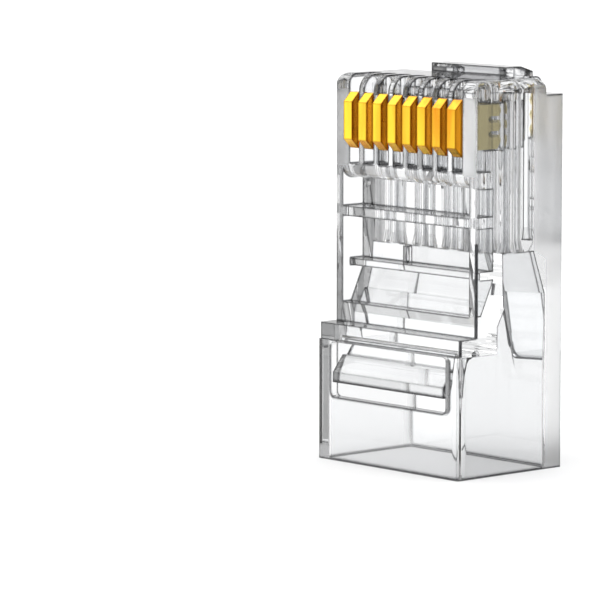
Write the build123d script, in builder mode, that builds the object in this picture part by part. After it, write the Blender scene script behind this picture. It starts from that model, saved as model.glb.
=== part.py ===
from build123d import *
import math
import os

# Eight-way modular plug, all sizes in millimetres.
# Width runs along X, the contact face looks to -Y, the latch to +Y and the nose points up +Z.
# The origin is the middle of the cable entry outline.

# Outer moulding
PLUG_WIDTH = 11.68
PLUG_DEPTH = 8.1  # at the collar, from its front face to the latch side
PLUG_LENGTH = 22.2
COLLAR_PROUD = 1.35  # how far the collar stands off the contact face
COLLAR_HEIGHT = 7.9
BAND_HEIGHT = 0.95  # band on top of the collar, a little less proud
BAND_SETBACK = 0.15
NOSE_DEPTH = 5.45  # nose end, from the contact face
BACK_SETBACK = 0.92  # the latch side wall stops this far behind the nose end
EDGE_ROUND = 0.12

# Cable space
SIDE_WALL = 0.5
FRONT_WALL = 0.6
BACK_WALL = 1.0
SPACE_ROUND = 0.3  # its upright corners at the collar
BACK_SLOPE_START = 10.0  # the back closes in from here to the wire block
SHEET_WALL = 0.85  # wall between the cable space and the front pocket
SHEET_FOOT = 1.86  # depth of its inner face above the window
FOOT_HEIGHT = 8.37
KNEE_HEIGHT = 9.4
GUIDE_START = 5.9  # the side guides thicken from here to the wire block
GUIDE_DEPTH = 3.3  # depth of their lower front corner
GUIDE_REACH = 0.42  # how far each guide stands in from its wall at the wire block

# Wire channels, two staggered rows
CONTACT_COUNT = 8
WIRE_RADIUS = 0.55
CHANNEL_SKIN = 0.6  # wall left behind the deep row
ROW_SPACING = 1.2
BLOCK_BOTTOM = 12.45  # height of the wire block's open end
CHANNEL_END = 0.7  # blind wall left at the nose
ENTRY_LIP = 0.1
FLARE_RADIUS = 0.7
FLARE_LENGTH = 0.6

# Pocket in the contact face
POCKET_SIDE = 0.59
POCKET_FLOOR = 0.95  # wall between pocket and shallow channel row
POCKET_LAND = 1.14  # flat land between collar and pocket
POCKET_LEDGE = 0.67  # depth of the pocket at its lower edge
RAMP_HEIGHT = 1.96
BLOCK_LENGTH = 6.0  # contact block, from the nose end to its rounded lower edge
BLOCK_ROUND = 0.75
CROSS_BAR_DROP = 7.62  # top of the upper cross bar below the nose end
CROSS_BAR_HEIGHT = 0.58
LEDGE_BAR_RISE = 0.1  # lower bar above the ramp
LEDGE_BAR_HEIGHT = 0.42
LEDGE_BAR_DEPTH = 0.58
SHORT_RIB_WIDTH = 0.3
SHORT_RIB_HEIGHT = 0.95
SHORT_RIB_DEPTH = 1.2
SHORT_RIB_PLACE = -1.3

# Comb that holds the contacts
COMB_OPEN_DEPTH = 2.0  # depth of the slots where they run out at the nose
COMB_ROUND = 1.0
LAND_ROUND = 0.6
SLOT_END = 5.15  # lower end of the slots below the nose end
SLOT_CLEARANCE = 0.05  # each side of a contact
SLOT_END_CLEARANCE = 0.1

# Contacts
CONTACT_THICKNESS = 0.7
CONTACT_START = 1.05  # below the nose end
CONTACT_LENGTH = 3.2
CONTACT_PROUD = 0.5
CONTACT_BEVEL = 0.52
SHOULDER_DEPTH = 0.5
SHOULDER_TOP = 0.3
SHOULDER_BOTTOM = 0.4
TIP_MARGIN = 0.05  # short of the wire before crimping
TINE_LENGTH = 0.95
TINE_POINT = 0.28
TINE_GAP = 0.36
TINE_COUNT = 3

# Window and cable clamp in the collar
WINDOW_WIDTH = 9.6
WINDOW_HEIGHT = 3.17
WINDOW_TOP = 6.85
WINDOW_ROUND = 0.3
CLAMP_SIDE_GAP = 0.2
CLAMP_BOTTOM_GAP = 0.84
CLAMP_NOSE_HEIGHT = 0.6
CLAMP_SLANT = 0.94
CLAMP_SLANT_DEPTH = 0.75
CLAMP_SET_IN = 0.02
CLAMP_SHELF = 0.35  # level shelf behind the slanted face
CLAMP_FOOT = 0.8  # depth of the clamp bar at its lower face
CLAMP_PIVOT_DEPTH = 1.85  # behind the collar face
CLAMP_BEAD = 0.25
CLAMP_WEB = 0.3
HINGE_CLEARANCE = 0.05

# Latch
LATCH_WIDTH = 6.1
ROOT_START = 4.9  # depth where the root rises on the nose end
ROOT_PROUD = 0.5
ROOT_LENGTH = 1.2
LEG_WIDTH = 1.1
LEG_REACH = 0.25  # the legs stop this short of the pivot
LEG_TIP = 0.3
PIVOT_RISE = 0.32  # pivot above the top of the latch side wall
LATCH_GAP = 0.15
LEVER_THICKNESS = 0.8
LEVER_LENGTH = 16.2
LEVER_ANGLE = 11.5
CROSSBAR_RADIUS = 0.5
TAIL_WIDTH = 3.3
TAIL_ROUND = 0.6
TAIL_END_THICKNESS = 0.65
WING_START = 3.3
WING_END = 6.3
WING_FLAT = 0.7
WING_HEIGHT = 0.35
WING_WIDTH = 1.3
SHOULDER_TAPER = 0.5

# Sizes that follow from the ones above
BODY_DEPTH = PLUG_DEPTH - COLLAR_PROUD
FACE_Y = COLLAR_PROUD - PLUG_DEPTH / 2
BACK_TOP = PLUG_LENGTH - BACK_SETBACK
CAVITY_WIDTH = PLUG_WIDTH - 2 * SIDE_WALL
CAVITY_BACK = BODY_DEPTH - BACK_WALL
CAVITY_FRONT = FRONT_WALL - COLLAR_PROUD
LOWER_ROW = NOSE_DEPTH - CHANNEL_SKIN - WIRE_RADIUS
UPPER_ROW = LOWER_ROW - ROW_SPACING
POCKET_DEPTH = UPPER_ROW - WIRE_RADIUS - POCKET_FLOOR
SHEET_END = POCKET_DEPTH + SHEET_WALL
BLOCK_BACK = LOWER_ROW + WIRE_RADIUS + ENTRY_LIP
BLOCK_HALF = CAVITY_WIDTH / 2 - GUIDE_REACH
CONTACT_PITCH = 2 * (BLOCK_HALF - WIRE_RADIUS - ENTRY_LIP) / (CONTACT_COUNT - 1)
CHANNEL_TOP = PLUG_LENGTH - CHANNEL_END
POCKET_BOTTOM = COLLAR_HEIGHT + POCKET_LAND
RAMP_TOP = POCKET_BOTTOM + RAMP_HEIGHT
POCKET_TOP = PLUG_LENGTH - BLOCK_LENGTH
POCKET_HALF = PLUG_WIDTH / 2 - POCKET_SIDE
LEDGE_BAR_TOP = RAMP_TOP + LEDGE_BAR_RISE + LEDGE_BAR_HEIGHT
SLOT_WIDTH = CONTACT_THICKNESS + 2 * SLOT_CLEARANCE
COMB_HALF = (CONTACT_COUNT - 1) * CONTACT_PITCH / 2 + SLOT_WIDTH / 2
CONTACT_TOP = PLUG_LENGTH - CONTACT_START
CONTACT_BOTTOM = CONTACT_TOP - CONTACT_LENGTH
TINE_TOP = CONTACT_TOP - SHOULDER_TOP
TINE_BOTTOM = CONTACT_BOTTOM + SHOULDER_BOTTOM
CLAMP_HALF = WINDOW_WIDTH / 2 - CLAMP_SIDE_GAP
CLAMP_PIVOT = CLAMP_PIVOT_DEPTH - COLLAR_PROUD
CLAMP_BOTTOM = WINDOW_TOP - WINDOW_HEIGHT + CLAMP_BOTTOM_GAP
PIVOT_DEPTH = BODY_DEPTH + LATCH_GAP + LEVER_THICKNESS / 2
PIVOT_HEIGHT = BACK_TOP + PIVOT_RISE

# Each contact's place across the plug and the depth of the wire below it
CONTACTS = [
    (
        index + 1,
        (index - (CONTACT_COUNT - 1) / 2) * CONTACT_PITCH,
        UPPER_ROW if index % 2 else LOWER_ROW,
    )
    for index in range(CONTACT_COUNT)
]

# Working planes: side views measure depth from the contact face, front views look into it
SIDE = Plane(origin=(0, FACE_Y, 0), x_dir=(0, 1, 0), z_dir=(1, 0, 0))
FRONT = Plane(origin=(0, FACE_Y, 0), x_dir=(1, 0, 0), z_dir=(0, -1, 0))
COLLAR_FRONT = FRONT.offset(COLLAR_PROUD)

os.makedirs("parts", exist_ok=True)


def save(block, name):
    """Label one solid and write it out."""
    block.part.label = name
    export_step(block.part, f"parts/{name}.step")


# Guides: wedges on the side walls that lead the wires into the block
with BuildPart() as side_guides:
    with BuildSketch(SIDE):
        with BuildLine():
            Polyline(
                (GUIDE_DEPTH, GUIDE_START),
                (SHEET_END, KNEE_HEIGHT),
                (SHEET_END, BLOCK_BOTTOM),
                (CAVITY_BACK, BLOCK_BOTTOM),
                (CAVITY_BACK, GUIDE_START),
                close=True,
            )
        make_face()
    extrude(amount=CAVITY_WIDTH / 2, both=True)
    with BuildSketch(FRONT):
        for side in (1, -1):
            with BuildLine():
                Polyline(
                    (side * CAVITY_WIDTH / 2, GUIDE_START),
                    (side * CAVITY_WIDTH / 2, BLOCK_BOTTOM),
                    (side * BLOCK_HALF, BLOCK_BOTTOM),
                    close=True,
                )
            make_face()
    extrude(amount=PLUG_DEPTH, both=True, mode=Mode.INTERSECT)


# Cable space: its side outline across the plug, less the guides
with BuildPart() as cable_space:
    with BuildSketch(SIDE):
        with BuildLine():
            Polyline(
                (CAVITY_FRONT, 0),
                (CAVITY_FRONT, WINDOW_TOP),
                (SHEET_FOOT, WINDOW_TOP),
                (SHEET_FOOT, FOOT_HEIGHT),
                (SHEET_END, KNEE_HEIGHT),
                (SHEET_END, BLOCK_BOTTOM),
                (BLOCK_BACK, BLOCK_BOTTOM),
                (CAVITY_BACK, BACK_SLOPE_START),
                (CAVITY_BACK, 0),
                close=True,
            )
        make_face()
    extrude(amount=CAVITY_WIDTH / 2, both=True)
    upright = cable_space.edges().filter_by(Axis.Z)
    fillet(upright.group_by(Axis.Y)[0] + upright.group_by(Axis.Y)[-1], radius=SPACE_ROUND)
    add(side_guides.part, mode=Mode.SUBTRACT)


# Housing: the clear moulding
with BuildPart() as housing:
    # Outer block with the stepped collar and the short nose
    with BuildSketch(SIDE):
        with BuildLine():
            Polyline(
                (-COLLAR_PROUD, 0),
                (-COLLAR_PROUD, COLLAR_HEIGHT - BAND_HEIGHT),
                (BAND_SETBACK - COLLAR_PROUD, COLLAR_HEIGHT - BAND_HEIGHT),
                (BAND_SETBACK - COLLAR_PROUD, COLLAR_HEIGHT),
                (0, COLLAR_HEIGHT),
                (0, PLUG_LENGTH),
                (NOSE_DEPTH, PLUG_LENGTH),
                (NOSE_DEPTH, BACK_TOP),
                (BODY_DEPTH, BACK_TOP),
                (BODY_DEPTH, 0),
                close=True,
            )
        make_face()
    extrude(amount=PLUG_WIDTH / 2, both=True)
    fillet(housing.edges().filter_by(Axis.Z), radius=EDGE_ROUND)
    nose_edge = housing.edges().filter_by(Axis.X).group_by(Axis.Z)[-1].sort_by(Axis.Y)[0]
    fillet(nose_edge, radius=LAND_ROUND)

    # Rounder nose corner over the comb
    with BuildSketch(SIDE):
        with Locations((COMB_ROUND / 2, PLUG_LENGTH - COMB_ROUND / 2)):
            Rectangle(COMB_ROUND, COMB_ROUND)
        with Locations((COMB_ROUND, PLUG_LENGTH - COMB_ROUND)):
            Circle(COMB_ROUND, mode=Mode.SUBTRACT)
    extrude(amount=COMB_HALF, both=True, mode=Mode.SUBTRACT)

    add(cable_space.part, mode=Mode.SUBTRACT)

    # Pocket in the contact face, with the rounded lower edge of the contact block
    with BuildSketch(SIDE):
        with BuildLine():
            Polyline(
                (0, POCKET_TOP + BLOCK_ROUND),
                (-POCKET_DEPTH, POCKET_TOP + BLOCK_ROUND),
                (-POCKET_DEPTH, POCKET_BOTTOM),
                (POCKET_LEDGE, POCKET_BOTTOM),
                (POCKET_DEPTH, RAMP_TOP),
                (POCKET_DEPTH, POCKET_TOP),
                (BLOCK_ROUND, POCKET_TOP),
            )
            RadiusArc((BLOCK_ROUND, POCKET_TOP), (0, POCKET_TOP + BLOCK_ROUND), BLOCK_ROUND)
        make_face()
    extrude(amount=POCKET_HALF, both=True, mode=Mode.SUBTRACT)

    # Upper cross bar, lower ledge bar and the short rib that stands on it
    bar_height = PLUG_LENGTH - CROSS_BAR_DROP - CROSS_BAR_HEIGHT / 2
    ledge_height = LEDGE_BAR_TOP - LEDGE_BAR_HEIGHT / 2
    rib_height = LEDGE_BAR_TOP + SHORT_RIB_HEIGHT / 2
    bar_width = PLUG_WIDTH - SIDE_WALL
    for place, height, near, width, thickness in (
        (0, bar_height, 0, bar_width, CROSS_BAR_HEIGHT),
        (0, ledge_height, LEDGE_BAR_DEPTH, bar_width, LEDGE_BAR_HEIGHT),
        (SHORT_RIB_PLACE, rib_height, SHORT_RIB_DEPTH, SHORT_RIB_WIDTH, SHORT_RIB_HEIGHT),
    ):
        with BuildSketch(FRONT.offset(-near)):
            with Locations((place, height)):
                Rectangle(width, thickness)
        extrude(amount=near - POCKET_DEPTH - SHEET_WALL / 2)

    # Slots for the contacts, shallow and open at the nose, deep where the blades go in
    for _, place, row in CONTACTS:
        with BuildSketch(Plane.XY.offset(PLUG_LENGTH - SLOT_END)):
            with Locations((place, FACE_Y + (COMB_OPEN_DEPTH - SLOT_WIDTH / 2) / 2)):
                Rectangle(SLOT_WIDTH, COMB_OPEN_DEPTH - SLOT_WIDTH / 2)
            with Locations((place, FACE_Y + COMB_OPEN_DEPTH - SLOT_WIDTH / 2)):
                Circle(SLOT_WIDTH / 2)
        extrude(amount=SLOT_END, mode=Mode.SUBTRACT)
        with BuildSketch(FRONT):
            with Locations((place, (TINE_TOP + TINE_BOTTOM) / 2)):
                Rectangle(SLOT_WIDTH, TINE_TOP - TINE_BOTTOM + 2 * SLOT_END_CLEARANCE)
        extrude(amount=-(row + WIRE_RADIUS), mode=Mode.SUBTRACT)

    # Wire channels with flared mouths
    for _, place, row in CONTACTS:
        with BuildSketch(Plane.XY.offset(BLOCK_BOTTOM)):
            with Locations((place, FACE_Y + row)):
                Circle(WIRE_RADIUS)
        extrude(amount=CHANNEL_TOP - BLOCK_BOTTOM, mode=Mode.SUBTRACT)
        with Locations((place, FACE_Y + row, BLOCK_BOTTOM + FLARE_LENGTH / 2)):
            Cone(FLARE_RADIUS, WIRE_RADIUS, FLARE_LENGTH, mode=Mode.SUBTRACT)

    # Window in the collar, and the groove in the roof that its clamp hinges in
    with BuildSketch(COLLAR_FRONT):
        with Locations((0, WINDOW_TOP - WINDOW_HEIGHT / 2)):
            RectangleRounded(WINDOW_WIDTH, WINDOW_HEIGHT, WINDOW_ROUND)
    extrude(amount=-FRONT_WALL, mode=Mode.SUBTRACT)
    with BuildSketch(SIDE):
        with Locations((CLAMP_PIVOT, WINDOW_TOP)):
            Circle(CLAMP_BEAD + HINGE_CLEARANCE)
    extrude(amount=CLAMP_HALF + CLAMP_SIDE_GAP, both=True, mode=Mode.SUBTRACT)

    # Latch root on the nose end
    with BuildSketch(SIDE):
        with Locations((ROOT_START + ROOT_LENGTH / 2, PLUG_LENGTH)):
            Rectangle(ROOT_LENGTH, 2 * ROOT_PROUD)
    extrude(amount=LATCH_WIDTH / 2, both=True)

    # Two legs that carry the latch
    for side in (1, -1):
        leg_plane = SIDE.offset(side * (LATCH_WIDTH - LEG_WIDTH) / 2)
        root_top = PLUG_LENGTH + ROOT_PROUD
        leg_end = PIVOT_DEPTH - LEG_REACH
        with BuildSketch(leg_plane):
            with BuildLine():
                Polyline(
                    (ROOT_START + ROOT_LENGTH / 2, root_top),
                    (ROOT_START + ROOT_LENGTH / 2, BACK_TOP - BACK_SETBACK),
                    (BODY_DEPTH, BACK_TOP - BACK_SETBACK),
                    (BODY_DEPTH, BACK_TOP),
                    (leg_end, PIVOT_HEIGHT),
                    (leg_end, PIVOT_HEIGHT + CROSSBAR_RADIUS + LEG_TIP),
                    (ROOT_START + ROOT_LENGTH, root_top),
                    close=True,
                )
            make_face()
        extrude(amount=LEG_WIDTH / 2, both=True)
    with BuildSketch(SIDE):
        with Locations((PIVOT_DEPTH, PIVOT_HEIGHT)):
            Circle(CROSSBAR_RADIUS + HINGE_CLEARANCE)
    extrude(amount=LATCH_WIDTH / 2, both=True, mode=Mode.SUBTRACT)

save(housing, "housing")


# Latch lever: crossbar, wide neck, two catch wings and the narrow tail
lean = math.radians(LEVER_ANGLE)
lever_origin = (0, FACE_Y + PIVOT_DEPTH, PIVOT_HEIGHT)
lever_side = Plane(
    origin=lever_origin,
    x_dir=(0, math.cos(lean), math.sin(lean)),
    z_dir=(1, 0, 0),
)
lever_front = Plane(
    origin=lever_origin,
    x_dir=(1, 0, 0),
    z_dir=(0, -math.cos(lean), -math.sin(lean)),
)
with BuildPart() as latch_lever:
    with BuildSketch(lever_side):
        with BuildLine():
            Polyline(
                (-LEVER_THICKNESS / 2, 0),
                (-LEVER_THICKNESS / 2, -LEVER_LENGTH),
                (TAIL_END_THICKNESS - LEVER_THICKNESS / 2, -LEVER_LENGTH),
                (LEVER_THICKNESS / 2, -WING_END),
                (LEVER_THICKNESS / 2, 0),
                close=True,
            )
        make_face()
    extrude(amount=LATCH_WIDTH / 2, both=True)
    with BuildSketch(lever_front):
        with BuildLine():
            Polyline(
                (LATCH_WIDTH / 2, 0),
                (LATCH_WIDTH / 2, -WING_END),
                (TAIL_WIDTH / 2 + SHOULDER_TAPER, -WING_END),
                (TAIL_WIDTH / 2, -WING_END - SHOULDER_TAPER),
                (TAIL_WIDTH / 2, -LEVER_LENGTH),
                (-TAIL_WIDTH / 2, -LEVER_LENGTH),
                (-TAIL_WIDTH / 2, -WING_END - SHOULDER_TAPER),
                (-TAIL_WIDTH / 2 - SHOULDER_TAPER, -WING_END),
                (-LATCH_WIDTH / 2, -WING_END),
                (-LATCH_WIDTH / 2, 0),
                close=True,
            )
        make_face()
    extrude(amount=LEVER_THICKNESS, both=True, mode=Mode.INTERSECT)
    for side in (1, -1):
        with BuildSketch(lever_side.offset(side * (LATCH_WIDTH - WING_WIDTH) / 2)):
            with BuildLine():
                Polyline(
                    (0, -WING_START),
                    (LEVER_THICKNESS / 2, -WING_START),
                    (LEVER_THICKNESS / 2 + WING_HEIGHT, WING_FLAT - WING_END),
                    (LEVER_THICKNESS / 2 + WING_HEIGHT, -WING_END),
                    (0, -WING_END),
                    close=True,
                )
            make_face()
        extrude(amount=WING_WIDTH / 2, both=True)
    tail_end = latch_lever.faces().sort_by(Axis.Z)[0].edges()
    fillet(tail_end.sort_by(Axis.X)[0], radius=TAIL_ROUND)
    tail_end = latch_lever.faces().sort_by(Axis.Z)[0].edges()
    fillet(tail_end.sort_by(Axis.X)[-1], radius=TAIL_ROUND)
    with BuildSketch(SIDE):
        with Locations((PIVOT_DEPTH, PIVOT_HEIGHT)):
            Circle(CROSSBAR_RADIUS)
    extrude(amount=LATCH_WIDTH / 2, both=True)

save(latch_lever, "latch_lever")


# Cable clamp: slanted bar on a web that hangs from a bead in the roof of the cable space
with BuildPart() as cable_clamp:
    front = CLAMP_SET_IN - COLLAR_PROUD
    slant_bottom = CLAMP_BOTTOM + CLAMP_NOSE_HEIGHT
    slant_top = slant_bottom + CLAMP_SLANT
    shelf_back = front + CLAMP_SLANT_DEPTH + CLAMP_SHELF
    with BuildSketch(SIDE):
        with BuildLine():
            Polyline(
                (front, CLAMP_BOTTOM),
                (front, slant_bottom),
                (front + CLAMP_SLANT_DEPTH, slant_top),
                (shelf_back, slant_top),
                (CLAMP_PIVOT - CLAMP_WEB / 2, WINDOW_TOP),
                (CLAMP_PIVOT + CLAMP_WEB / 2, WINDOW_TOP),
                (shelf_back, slant_top - CLAMP_WEB),
                (front + CLAMP_FOOT, CLAMP_BOTTOM),
                close=True,
            )
        make_face()
        with Locations((CLAMP_PIVOT, WINDOW_TOP)):
            Circle(CLAMP_BEAD)
    extrude(amount=CLAMP_HALF, both=True)

save(cable_clamp, "cable_clamp")


# Contacts: bevelled blades with three piercing tines
def make_contact(number, place, row):
    """One contact blade; its tines reach just short of the wire in its row."""
    tip = row - WIRE_RADIUS - TIP_MARGIN
    root = tip - TINE_POINT
    tine = (TINE_TOP - TINE_BOTTOM) / TINE_COUNT
    tines = [(root, TINE_TOP)]
    for step in range(TINE_COUNT):
        tines.append((tip, TINE_TOP - (2 * step + 1) * tine / 2))
        tines.append((root, TINE_TOP - (step + 1) * tine))
    with BuildPart() as contact:
        with BuildSketch(SIDE.offset(place)):
            with BuildLine():
                Polyline(
                    (CONTACT_BEVEL - CONTACT_PROUD, CONTACT_BOTTOM),
                    (-CONTACT_PROUD, CONTACT_BOTTOM + CONTACT_BEVEL),
                    (-CONTACT_PROUD, CONTACT_TOP - CONTACT_BEVEL),
                    (CONTACT_BEVEL - CONTACT_PROUD, CONTACT_TOP),
                    (SHOULDER_DEPTH, CONTACT_TOP),
                    (SHOULDER_DEPTH, TINE_TOP),
                    *tines,
                    (SHOULDER_DEPTH, TINE_BOTTOM),
                    (SHOULDER_DEPTH, CONTACT_BOTTOM),
                    close=True,
                )
            make_face()
            for step in range(1, TINE_COUNT):
                with Locations((tip, TINE_TOP - step * tine)):
                    SlotOverall(2 * TINE_LENGTH, TINE_GAP, mode=Mode.SUBTRACT)
        extrude(amount=CONTACT_THICKNESS / 2, both=True)
    save(contact, f"contact_{number}")


for number, place, row in CONTACTS:
    make_contact(number, place, row)
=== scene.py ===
import math

import bpy
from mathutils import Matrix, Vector


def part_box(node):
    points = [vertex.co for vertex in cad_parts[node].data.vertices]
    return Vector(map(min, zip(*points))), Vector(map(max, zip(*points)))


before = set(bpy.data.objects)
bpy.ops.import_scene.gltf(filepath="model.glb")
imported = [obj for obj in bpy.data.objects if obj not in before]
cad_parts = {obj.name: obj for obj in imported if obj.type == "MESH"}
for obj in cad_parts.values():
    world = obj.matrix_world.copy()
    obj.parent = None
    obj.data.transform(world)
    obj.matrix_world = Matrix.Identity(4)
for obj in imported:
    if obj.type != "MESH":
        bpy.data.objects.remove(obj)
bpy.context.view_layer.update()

# Eight-way modular plug in clear plastic with gold contacts, all sizes in metres.
# Places are those of the CAD: the contact face looks to -Y and the nose points up +Z.
MM = 0.001

# Camera
CAMERA_AZIMUTH = math.radians(48.48)
CAMERA_ELEVATION = math.radians(6.79)
CAMERA_DISTANCE = 243.4 * MM
CAMERA_AIM = Vector((-5.468, -5.781, 9.323)) * MM
CAMERA_LENS = 255.6
CAMERA_NEAR = 2.434 * MM
CAMERA_FAR = 15.0

# Floor and studio light
FLOOR_RADIUS = 1.5
FLOOR_SIDES = 64
FLOOR_WHITE = 0.9
SKYLIGHT_STRENGTH = 1.25
SKYLIGHT_ANGLE = math.radians(70)
KEY_SIZE = 0.3
KEY_DISTANCE = 0.5
KEY_POWER = 0.45
KEY_DIRECTION = Vector((-0.72, -0.11, 0.69))  # lights the contacts' upper bevels
ROOM_GREYS = ((0.0, 1.0), (0.3, 1.0), (0.36, 0.8), (1.0, 0.8))  # height, grey
CARD_HEIGHT = 60 * MM
CARD_LIFT = 0.06 * MM  # a card's foot ends this high above the floor
SIDE_CARDS = (  # heading in degrees from +X, distance, width and foot in millimetres, grey
    (41.5, 20, 20, 20, 0.35),
    (318.5, 45, 19, 0, 0.1),
    (0, 45, 13, 0, 0.04),
    (90, 45, 13, 0, 0.04),
    (180, 45, 13, 0, 0.04),
    (270, 45, 13, 0, 0.04),
)
LIGHT_BOUNCES = 32
MIRROR_BOUNCES = 8

# Noises: scale, detail and stretch along the axes
FLOW_NOISE = (90.0, 3.0, (1, 1, 0.3))
STREAK_SHADE_NOISE = (3500.0, 1.0, (1, 1, 0.01))
ROOT_STREAK_NOISE = (2500.0, 2.0, (0.04, 1, 1))
GRAIN_NOISE = (1500.0, 4.0, (1, 1, 0.15))

# A face looks straight along an axis where its normal has this share on it
SQUARE_ON = 0.9

# The colour sockets of a Mix node, which has sockets of the same names for other kinds
MIX_FIRST = 6
MIX_SECOND = 7
MIX_RESULT = 2

# Clear plastic
PLASTIC_IOR = 1.5
PLASTIC_TINT = (0.95, 0.955, 0.96)
PLASTIC_ROUGHNESS = (0.0, 0.03)
# Painted shade: the plastic turns grey where its faces are seen at a slant
GRAZING_SHADE_GREY = (0.25, 0.255, 0.26)
GRAZING_RANGE = (0.5, 0.97)
FLOW_RANGE = (0.4, 0.7)
FLOW_BUMP = 0.006
SHADOW_TINT = (0.86, 0.86, 0.865)

# Painted shade along the corners between its faces: wider on the collar and on the comb's arches
EDGE_SHADE_GREY = (0.015, 0.015, 0.017)
EDGE_START = 0.92  # cosine of the turn that counts as fully dark
EDGE_END = 0.999
EDGE_SAMPLES = 8
EDGE_RADIUS = 0.2 * MM
EDGE_RADIUS_COLLAR = 0.32 * MM
COLLAR_STEP = (6.6 * MM, 6.7 * MM)
BAND_HEIGHT = (6.7 * MM, 7.2 * MM)  # foot of the band on the collar, where the corners are finer
BAND_LESS = 0.14 * MM
COMB_MORE = 0.1 * MM
COMB_STEP = (20.4 * MM, 20.5 * MM)

# Painted shade: dark lines down the two front corners, first on the collar's band and then above it
CORNER_SIDE = 5.69 * MM
CORNER_DEPTH = (-3.78 * MM, -2.57 * MM)
CORNER_STEP = (7.85 * MM, 7.9 * MM)
CORNER_HEIGHT = (6.95 * MM, 13.2 * MM)

# Painted shade: upright dark streaks in the wire channels and contact slots
STREAK_SHADE_GREY = (0.5, 0.505, 0.515)
STREAK_SHADE_RANGE = (0.52, 0.58)
BLOCK_SIDES = (-4.95 * MM, 4.95 * MM)
BLOCK_DEPTH = (-1.15 * MM, 2.25 * MM)
BLOCK_HEIGHT = (12.5 * MM, 21.6 * MM)

# Painted shade: grey on the side walls' inner faces and on the pocket's ramp
WALL_SHADE_GREY = (0.78, 0.785, 0.79)
INNER_SIDE = (5.28 * MM, 5.4 * MM)
RAMP_SLOPE = (0.35, 0.5)  # upward part of the ramp's normal

# Dull rear of the outer side faces, which starts further forward beside the channels
FROST_ROUGHNESS = 0.4
FROST_BLUR = 0.03 * MM
FROST_START = (2.72 * MM, 1.75 * MM)
FROST_STEP = (12.0 * MM, 12.5 * MM)

# Dull lands at both ends of the comb
LAND_SIDE = 4.72 * MM
LAND_HEIGHT = (16.9 * MM, 21.3 * MM)

# Grey streaks on the latch's root, which stands up above the nose end
ROOT_STREAK_GREY = (0.5, 0.505, 0.52)
ROOT_STREAK_RANGE = (0.4, 0.6)
ROOT_HEIGHT = 0.52 * MM
ROOT_BLUR = 0.02 * MM

# Gold plating: yellow at the first contact, more orange towards the last, most at the heads, a
# shift that is painted reflection
GOLD_YELLOW = (1.0, 0.78, 0.06)
GOLD_ORANGE = (0.85, 0.3, 0.02)
GOLD_FOOT_SHARE = 0.4  # share of the orange at the contacts' feet
GOLD_DRIFT = (-0.2, 0.2)
# Painted shade: a deeper orange on the contacts' faces that look sideways
GOLD_SIDE_SHADE = (1.0, 0.4, 0.02)
GOLD_SIDE_RANGE = (0.5, 0.9)
# Painted shade: darker orange on the down-facing bevels, broken up by the grain
GOLD_LOWER_SHADE = (0.6, 0.25, 0.01)
GOLD_LOWER_RANGE = (-0.3, -0.6)
GOLD_SPECKLE = (0.4, 1.0)
# Painted shade: dark lines along the contacts' corners
GOLD_CORNER_SHADE = (0.5, 0.19, 0.004)
GOLD_CORNER_RADIUS = 0.17 * MM
GOLD_CORNER_START = 0.93
GOLD_ROUGHNESS = (0.16, 0.3)
GRAIN_RANGE = (0.35, 0.65)
GRAIN_ROUGH_RANGE = (0.3, 0.7)
PLATED_DEPTH = 0.85 * MM  # plating ends this far behind the contact's front
BARE_BRASS = (1.0, 0.88, 0.5)


def new_material(name):
    """An empty node material and its output node."""
    material = bpy.data.materials.new(name)
    material.use_nodes = True
    material.node_tree.nodes.clear()
    output = material.node_tree.nodes.new("ShaderNodeOutputMaterial")
    return material, output


def node(material, kind, **settings):
    """A new node with its plain settings."""
    made = material.node_tree.nodes.new(kind)
    for name, value in settings.items():
        setattr(made, name, value)
    return made


def link(material, source, target):
    """Join one socket to another."""
    material.node_tree.links.new(source, target)


def feed(material, socket, value):
    """Give a socket a number, a colour or another socket."""
    if isinstance(value, bpy.types.NodeSocket):
        link(material, value, socket)
    elif isinstance(value, tuple):
        socket.default_value = (*value, 1)
    else:
        socket.default_value = value


def object_noise(material, scale, detail, stretch):
    """Noise in the object's own coordinates, stretched along its axes."""
    place = node(material, "ShaderNodeTexCoord")
    mapping = node(material, "ShaderNodeMapping")
    mapping.inputs["Scale"].default_value = stretch
    noise = node(material, "ShaderNodeTexNoise")
    noise.inputs["Scale"].default_value = scale
    noise.inputs["Detail"].default_value = detail
    link(material, place.outputs["Object"], mapping.inputs["Vector"])
    link(material, mapping.outputs["Vector"], noise.inputs["Vector"])
    return noise.outputs["Fac"]


def ranged(material, value, low, high, start, end):
    """A value mapped from start..end to low..high and held inside it."""
    ramp = node(material, "ShaderNodeMapRange")
    ramp.inputs["From Min"].default_value = start
    ramp.inputs["From Max"].default_value = end
    ramp.inputs["To Min"].default_value = low
    ramp.inputs["To Max"].default_value = high
    link(material, value, ramp.inputs["Value"])
    return ramp.outputs["Result"]


def rise(material, value, start, end):
    """0 at the start of a range and before it, 1 at its end and beyond."""
    return ranged(material, value, 0, 1, start, end)


def combined(material, operation, first, second):
    """Maths on two sockets or numbers."""
    maths = node(material, "ShaderNodeMath", operation=operation)
    feed(material, maths.inputs[0], first)
    feed(material, maths.inputs[1], second)
    return maths.outputs["Value"]


def product(material, first, *others):
    """Product of sockets and numbers."""
    for other in others:
        first = combined(material, "MULTIPLY", first, other)
    return first


def above(material, value, limit):
    """1 where a value lies above a limit, else 0."""
    return combined(material, "GREATER_THAN", value, limit)


def below(material, value, limit):
    """1 where a value lies below a limit, else 0."""
    return combined(material, "LESS_THAN", value, limit)


def between(material, value, low, high):
    """1 where a value lies between two limits, else 0."""
    return product(material, above(material, value, low), below(material, value, high))


def unsigned(material, value):
    """A value without its sign."""
    return combined(material, "ABSOLUTE", value, 0)


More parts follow.
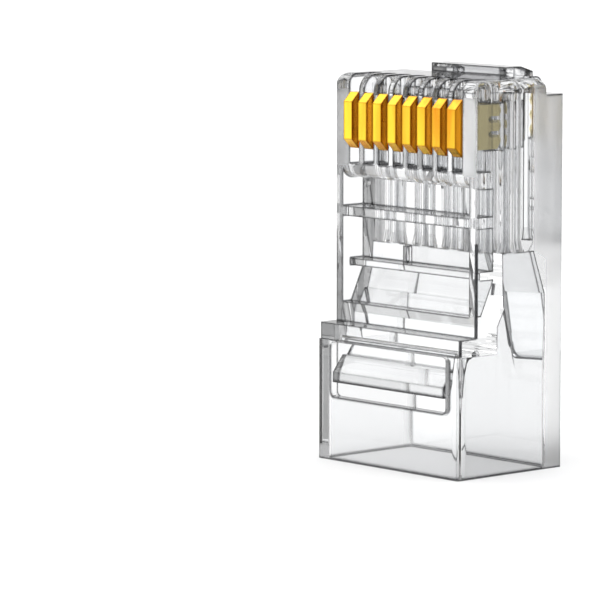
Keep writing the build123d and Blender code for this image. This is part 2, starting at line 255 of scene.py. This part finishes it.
def mixed(material, factor, first, second):
    """Mix of two fixed colours or sockets."""
    mix = node(material, "ShaderNodeMix", data_type="RGBA")
    link(material, factor, mix.inputs["Factor"])
    feed(material, mix.inputs[MIX_FIRST], first)
    feed(material, mix.inputs[MIX_SECOND], second)
    return mix.outputs[MIX_RESULT]


def mixed_shader(material, factor, first, second):
    """Mix of two shader nodes."""
    mix = node(material, "ShaderNodeMixShader")
    link(material, factor, mix.inputs["Fac"])
    link(material, first.outputs[0], mix.inputs[1])
    link(material, second.outputs[0], mix.inputs[2])
    return mix.outputs["Shader"]


def split(material, vector):
    """The X, Y and Z sockets of a vector."""
    parts = node(material, "ShaderNodeSeparateXYZ")
    link(material, vector, parts.inputs["Vector"])
    return parts.outputs


def surface(material):
    """Place and normal of the surface, each as X, Y and Z sockets."""
    place = split(material, node(material, "ShaderNodeTexCoord").outputs["Object"])
    normal = split(material, node(material, "ShaderNodeNewGeometry").outputs["True Normal"])
    return place, normal


def edge_factor(material, radius, start):
    """0 on open faces, rising to 1 on the corners between them."""
    bevel = node(material, "ShaderNodeBevel", samples=EDGE_SAMPLES)
    feed(material, bevel.inputs["Radius"], radius)
    shape = node(material, "ShaderNodeNewGeometry")
    dot = node(material, "ShaderNodeVectorMath", operation="DOT_PRODUCT")
    link(material, bevel.outputs["Normal"], dot.inputs[0])
    link(material, shape.outputs["True Normal"], dot.inputs[1])
    return ranged(material, dot.outputs["Value"], 1, 0, start, EDGE_END)


def corner_shade_lines(material, place):
    """Painted shade: dark lines down the two front corners, from the collar's band to the wire
    block.
    """
    side = above(material, unsigned(material, place["X"]), CORNER_SIDE)
    depth = ranged(material, place["Z"], *CORNER_DEPTH, *CORNER_STEP)
    front = below(material, place["Y"], depth)
    return product(material, side, front, between(material, place["Z"], *CORNER_HEIGHT))


def painted_corner_shade(material, place):
    """All corners of the plastic that get painted shade as dark lines."""
    radius = ranged(material, place["Z"], EDGE_RADIUS_COLLAR, EDGE_RADIUS, *COLLAR_STEP)
    less = product(material, between(material, place["Z"], *BAND_HEIGHT), BAND_LESS)
    radius = combined(material, "SUBTRACT", radius, less)
    more = ranged(material, place["Z"], 0, COMB_MORE, *COMB_STEP)
    radius = combined(material, "ADD", radius, more)
    corners = edge_factor(material, radius, EDGE_START)
    return combined(material, "MAXIMUM", corners, corner_shade_lines(material, place))


def channel_shade_streaks(material, place):
    """Painted shade: upright dark streaks on the walls of the wire channels and contact slots."""
    marks = rise(material, object_noise(material, *STREAK_SHADE_NOISE), *STREAK_SHADE_RANGE)
    across = between(material, place["X"], *BLOCK_SIDES)
    deep = between(material, place["Y"], *BLOCK_DEPTH)
    high = between(material, place["Z"], *BLOCK_HEIGHT)
    return product(material, across, deep, high, marks)


def wall_and_ramp_shade(material, place, normal):
    """Where the painted shade lies: the inner faces of the two side walls, and the ramp of the
    pocket.
    """
    wall = between(material, unsigned(material, place["X"]), *INNER_SIDE)
    sideways = above(material, unsigned(material, normal["X"]), SQUARE_ON)
    ramp = between(material, normal["Z"], *RAMP_SLOPE)
    return combined(material, "MAXIMUM", product(material, wall, sideways), ramp)


def root_streaks(material, place):
    """Streaks on the root of the latch."""
    _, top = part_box("housing")
    foot = top.z - ROOT_HEIGHT
    root = rise(material, place["Z"], foot, foot + ROOT_BLUR)
    return product(material, root, rise(material, object_noise(material, *ROOT_STREAK_NOISE), *ROOT_STREAK_RANGE))


def frost(material, place, normal):
    """Roughness of the dull faces: the rear of the outer sides and the comb's end lands."""
    from_middle = unsigned(material, place["X"])
    start = ranged(material, place["Z"], *FROST_START, *FROST_STEP)
    behind = combined(material, "SUBTRACT", place["Y"], start)
    rear = rise(material, behind, 0, FROST_BLUR)
    outside = above(material, from_middle, INNER_SIDE[1])
    sideways = above(material, unsigned(material, normal["X"]), SQUARE_ON)
    sides = product(material, rear, outside, sideways)
    ends = above(material, from_middle, LAND_SIDE)
    forward = below(material, normal["Y"], -SQUARE_ON)
    lands = product(material, ends, between(material, place["Z"], *LAND_HEIGHT), forward)
    return product(material, combined(material, "MAXIMUM", sides, lands), FROST_ROUGHNESS)


def plastic_colour(material, place, normal):
    """Colour of the plastic: painted shade grey at a slant, painted shade streaks in the channels,
    painted shade on the walls and ramp, the root's streaks, and painted shade in the corners.
    """
    facing = node(material, "ShaderNodeLayerWeight").outputs["Facing"]
    # Painted shade: grey where the faces are seen at a slant
    tint = mixed(material, rise(material, facing, *GRAZING_RANGE), PLASTIC_TINT, GRAZING_SHADE_GREY)
    tint = mixed(material, channel_shade_streaks(material, place), tint, STREAK_SHADE_GREY)
    tint = mixed(material, wall_and_ramp_shade(material, place, normal), tint, WALL_SHADE_GREY)
    tint = mixed(material, root_streaks(material, place), tint, ROOT_STREAK_GREY)
    return mixed(material, painted_corner_shade(material, place), tint, EDGE_SHADE_GREY)


def clear_plastic():
    """Moulded clear plastic: faint flow marks, dull faces, and a light shadow."""
    material, output = new_material("clear_plastic_moulded")
    shader = node(material, "ShaderNodeBsdfPrincipled")
    shader.inputs["Transmission Weight"].default_value = 1.0
    shader.inputs["IOR"].default_value = PLASTIC_IOR
    place, normal = surface(material)
    link(material, plastic_colour(material, place, normal), shader.inputs["Base Color"])
    flow = object_noise(material, *FLOW_NOISE)
    dull = ranged(material, flow, *PLASTIC_ROUGHNESS, *FLOW_RANGE)
    dull = combined(material, "MAXIMUM", dull, frost(material, place, normal))
    link(material, dull, shader.inputs["Roughness"])
    bump = node(material, "ShaderNodeBump")
    bump.inputs["Strength"].default_value = FLOW_BUMP
    bump.inputs["Distance"].default_value = MM
    link(material, flow, bump.inputs["Height"])
    link(material, bump.outputs["Normal"], shader.inputs["Normal"])
    shadow = node(material, "ShaderNodeBsdfTransparent")
    feed(material, shadow.inputs["Color"], SHADOW_TINT)
    in_shadow = node(material, "ShaderNodeLightPath").outputs["Is Shadow Ray"]
    link(material, mixed_shader(material, in_shadow, shader, shadow), output.inputs["Surface"])
    return material


def plating(material, place, normal, grain):
    """Colour of the gold: its grain's drift, painted reflection along the row, and painted shade on
    the sides, lower bevels and corners.
    """
    first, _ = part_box("contact_1")
    _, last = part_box("contact_8")
    across = rise(material, place["X"], first.x, last.x)
    share = ranged(material, place["Z"], GOLD_FOOT_SHARE, 1, first.z, last.z)
    reflection_and_drift = ranged(material, grain, *GOLD_DRIFT, *GRAIN_RANGE)
    # Painted reflection: more orange along the row and up towards the heads
    reflection_and_drift = combined(material, "ADD", product(material, across, share), reflection_and_drift)
    colour = mixed(material, reflection_and_drift, GOLD_YELLOW, GOLD_ORANGE)
    # Painted shade: deeper orange on the faces that look sideways
    side_shade = rise(material, unsigned(material, normal["X"]), *GOLD_SIDE_RANGE)
    colour = mixed(material, side_shade, colour, GOLD_SIDE_SHADE)
    # Painted shade: darker on the down-facing bevels, broken up by the grain
    lower = rise(material, normal["Z"], *GOLD_LOWER_RANGE)
    speckled = product(material, lower, ranged(material, grain, *GOLD_SPECKLE, *GRAIN_RANGE))
    colour = mixed(material, speckled, colour, GOLD_LOWER_SHADE)
    # Painted shade: dark lines along the corners
    corners = edge_factor(material, GOLD_CORNER_RADIUS, GOLD_CORNER_START)
    return mixed(material, corners, colour, GOLD_CORNER_SHADE)


def gold():
    """Gold over stamped brass, which is bare where it is buried in the plastic."""
    material, output = new_material("gold_plated")
    shader = node(material, "ShaderNodeBsdfPrincipled")
    shader.inputs["Metallic"].default_value = 1.0
    place, normal = surface(material)
    grain = object_noise(material, *GRAIN_NOISE)
    plated = plating(material, place, normal, grain)
    front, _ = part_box("contact_1")
    limit = front.y + PLATED_DEPTH
    buried = rise(material, place["Y"], limit, limit + GOLD_CORNER_RADIUS)
    link(material, mixed(material, buried, plated, BARE_BRASS), shader.inputs["Base Color"])
    rough = ranged(material, grain, *GOLD_ROUGHNESS, *GRAIN_ROUGH_RANGE)
    link(material, rough, shader.inputs["Roughness"])
    link(material, shader.outputs["BSDF"], output.inputs["Surface"])
    return material


def dress():
    """Give every part of the plug its own finish."""
    plastic = clear_plastic()
    metal = gold()
    for name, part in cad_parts.items():
        finish = metal if name.startswith("contact") else plastic
        for slot in part.material_slots:
            slot.material = finish


def floor():
    """Plain pale floor."""
    bpy.ops.mesh.primitive_circle_add(vertices=FLOOR_SIDES, radius=FLOOR_RADIUS, fill_type="NGON")
    ground = bpy.context.object
    ground.name = "floor"
    material, output = new_material("floor_paper")
    shader = node(material, "ShaderNodeBsdfDiffuse")
    shader.inputs["Color"].default_value = (FLOOR_WHITE, FLOOR_WHITE, FLOOR_WHITE, 1)
    link(material, shader.outputs["BSDF"], output.inputs["Surface"])
    ground.data.materials.append(material)


def studio_light():
    """Soft light from above, and one softbox."""
    skylight = bpy.data.lights.new("skylight", "SUN")
    skylight.energy = SKYLIGHT_STRENGTH
    skylight.angle = SKYLIGHT_ANGLE
    bpy.context.collection.objects.link(bpy.data.objects.new("skylight", skylight))
    key = bpy.data.lights.new("softbox", "AREA")
    key.size = KEY_SIZE
    key.energy = KEY_POWER
    box = bpy.data.objects.new("softbox", key)
    box.location = KEY_DIRECTION.normalized() * KEY_DISTANCE
    box.rotation_euler = KEY_DIRECTION.to_track_quat("Z", "Y").to_euler()
    bpy.context.collection.objects.link(box)


def room():
    """A room that is white low down and light grey above."""
    world = bpy.data.worlds.new("studio")
    world.use_nodes = True
    background = world.node_tree.nodes["Background"]
    place = world.node_tree.nodes.new("ShaderNodeTexCoord")
    parts = world.node_tree.nodes.new("ShaderNodeSeparateXYZ")
    shades = world.node_tree.nodes.new("ShaderNodeValToRGB")
    greys = shades.color_ramp.elements
    for height, _ in ROOM_GREYS[1:-1]:
        greys.new(height)
    for stop, (height, grey) in zip(greys, ROOM_GREYS):
        stop.position = height
        stop.color = (grey, grey, grey, 1)
    links = world.node_tree.links
    links.new(place.outputs["Generated"], parts.inputs["Vector"])
    links.new(parts.outputs["Z"], shades.inputs["Fac"])
    links.new(shades.outputs["Color"], background.inputs["Color"])
    bpy.context.scene.world = world


def card_material(grey):
    """Plain grey that is there only for light that has been mirrored on its way."""
    material, output = new_material("card_grey")
    shader = node(material, "ShaderNodeEmission")
    shader.inputs["Color"].default_value = (grey, grey, grey, 1)
    open_air = node(material, "ShaderNodeBsdfTransparent")
    mirrored = node(material, "ShaderNodeLightPath").outputs["Glossy Depth"]
    link(material, mixed_shader(material, mirrored, open_air, shader), output.inputs["Surface"])
    return material


def card_mesh(width, foot):
    """An upright card, with a foot along the floor towards the plug where it has one."""
    mesh = bpy.data.meshes.new("card")
    corners = [(-width / 2, 0, 0), (width / 2, 0, 0)]
    corners += [(width / 2, 0, CARD_HEIGHT), (-width / 2, 0, CARD_HEIGHT)]
    faces = [(0, 1, 2, 3)]
    if foot:
        corners += [(-width / 2, foot, CARD_LIFT), (width / 2, foot, CARD_LIFT)]
        faces.append((0, 1, 5, 4))
    mesh.from_pydata(corners, [], faces)
    return mesh


def cards():
    """Grey cards round the plug, out of the camera's sight, that its walls mirror."""
    for number, (heading, distance, width, foot, grey) in enumerate(SIDE_CARDS, 1):
        mesh = card_mesh(width * MM, foot * MM)
        mesh.materials.append(card_material(grey))
        card = bpy.data.objects.new(f"card_{number}", mesh)
        turn = math.radians(heading)
        card.location = Vector((math.cos(turn), math.sin(turn), 0)) * distance * MM
        card.rotation_euler = (0, 0, turn + math.pi / 2)
        card.visible_camera = False
        card.visible_diffuse = False
        card.visible_shadow = False
        bpy.context.collection.objects.link(card)


def camera():
    """Camera at the photograph's viewing angle."""
    back = Vector((
        math.sin(CAMERA_AZIMUTH) * math.cos(CAMERA_ELEVATION),
        -math.cos(CAMERA_AZIMUTH) * math.cos(CAMERA_ELEVATION),
        math.sin(CAMERA_ELEVATION),
    ))
    lens = bpy.data.cameras.new("camera")
    lens.lens = CAMERA_LENS
    lens.clip_start = CAMERA_NEAR
    lens.clip_end = CAMERA_FAR
    eye = bpy.data.objects.new("camera", lens)
    eye.location = CAMERA_AIM + back * CAMERA_DISTANCE
    eye.rotation_euler = back.to_track_quat("Z", "Y").to_euler()
    bpy.context.collection.objects.link(eye)
    bpy.context.scene.camera = eye


dress()
floor()
studio_light()
room()
cards()
camera()
scene = bpy.context.scene
scene.view_settings.view_transform = "Standard"
scene.cycles.max_bounces = LIGHT_BOUNCES
scene.cycles.glossy_bounces = MIRROR_BOUNCES
scene.cycles.transmission_bounces = LIGHT_BOUNCES
scene.cycles.transparent_max_bounces = LIGHT_BOUNCES
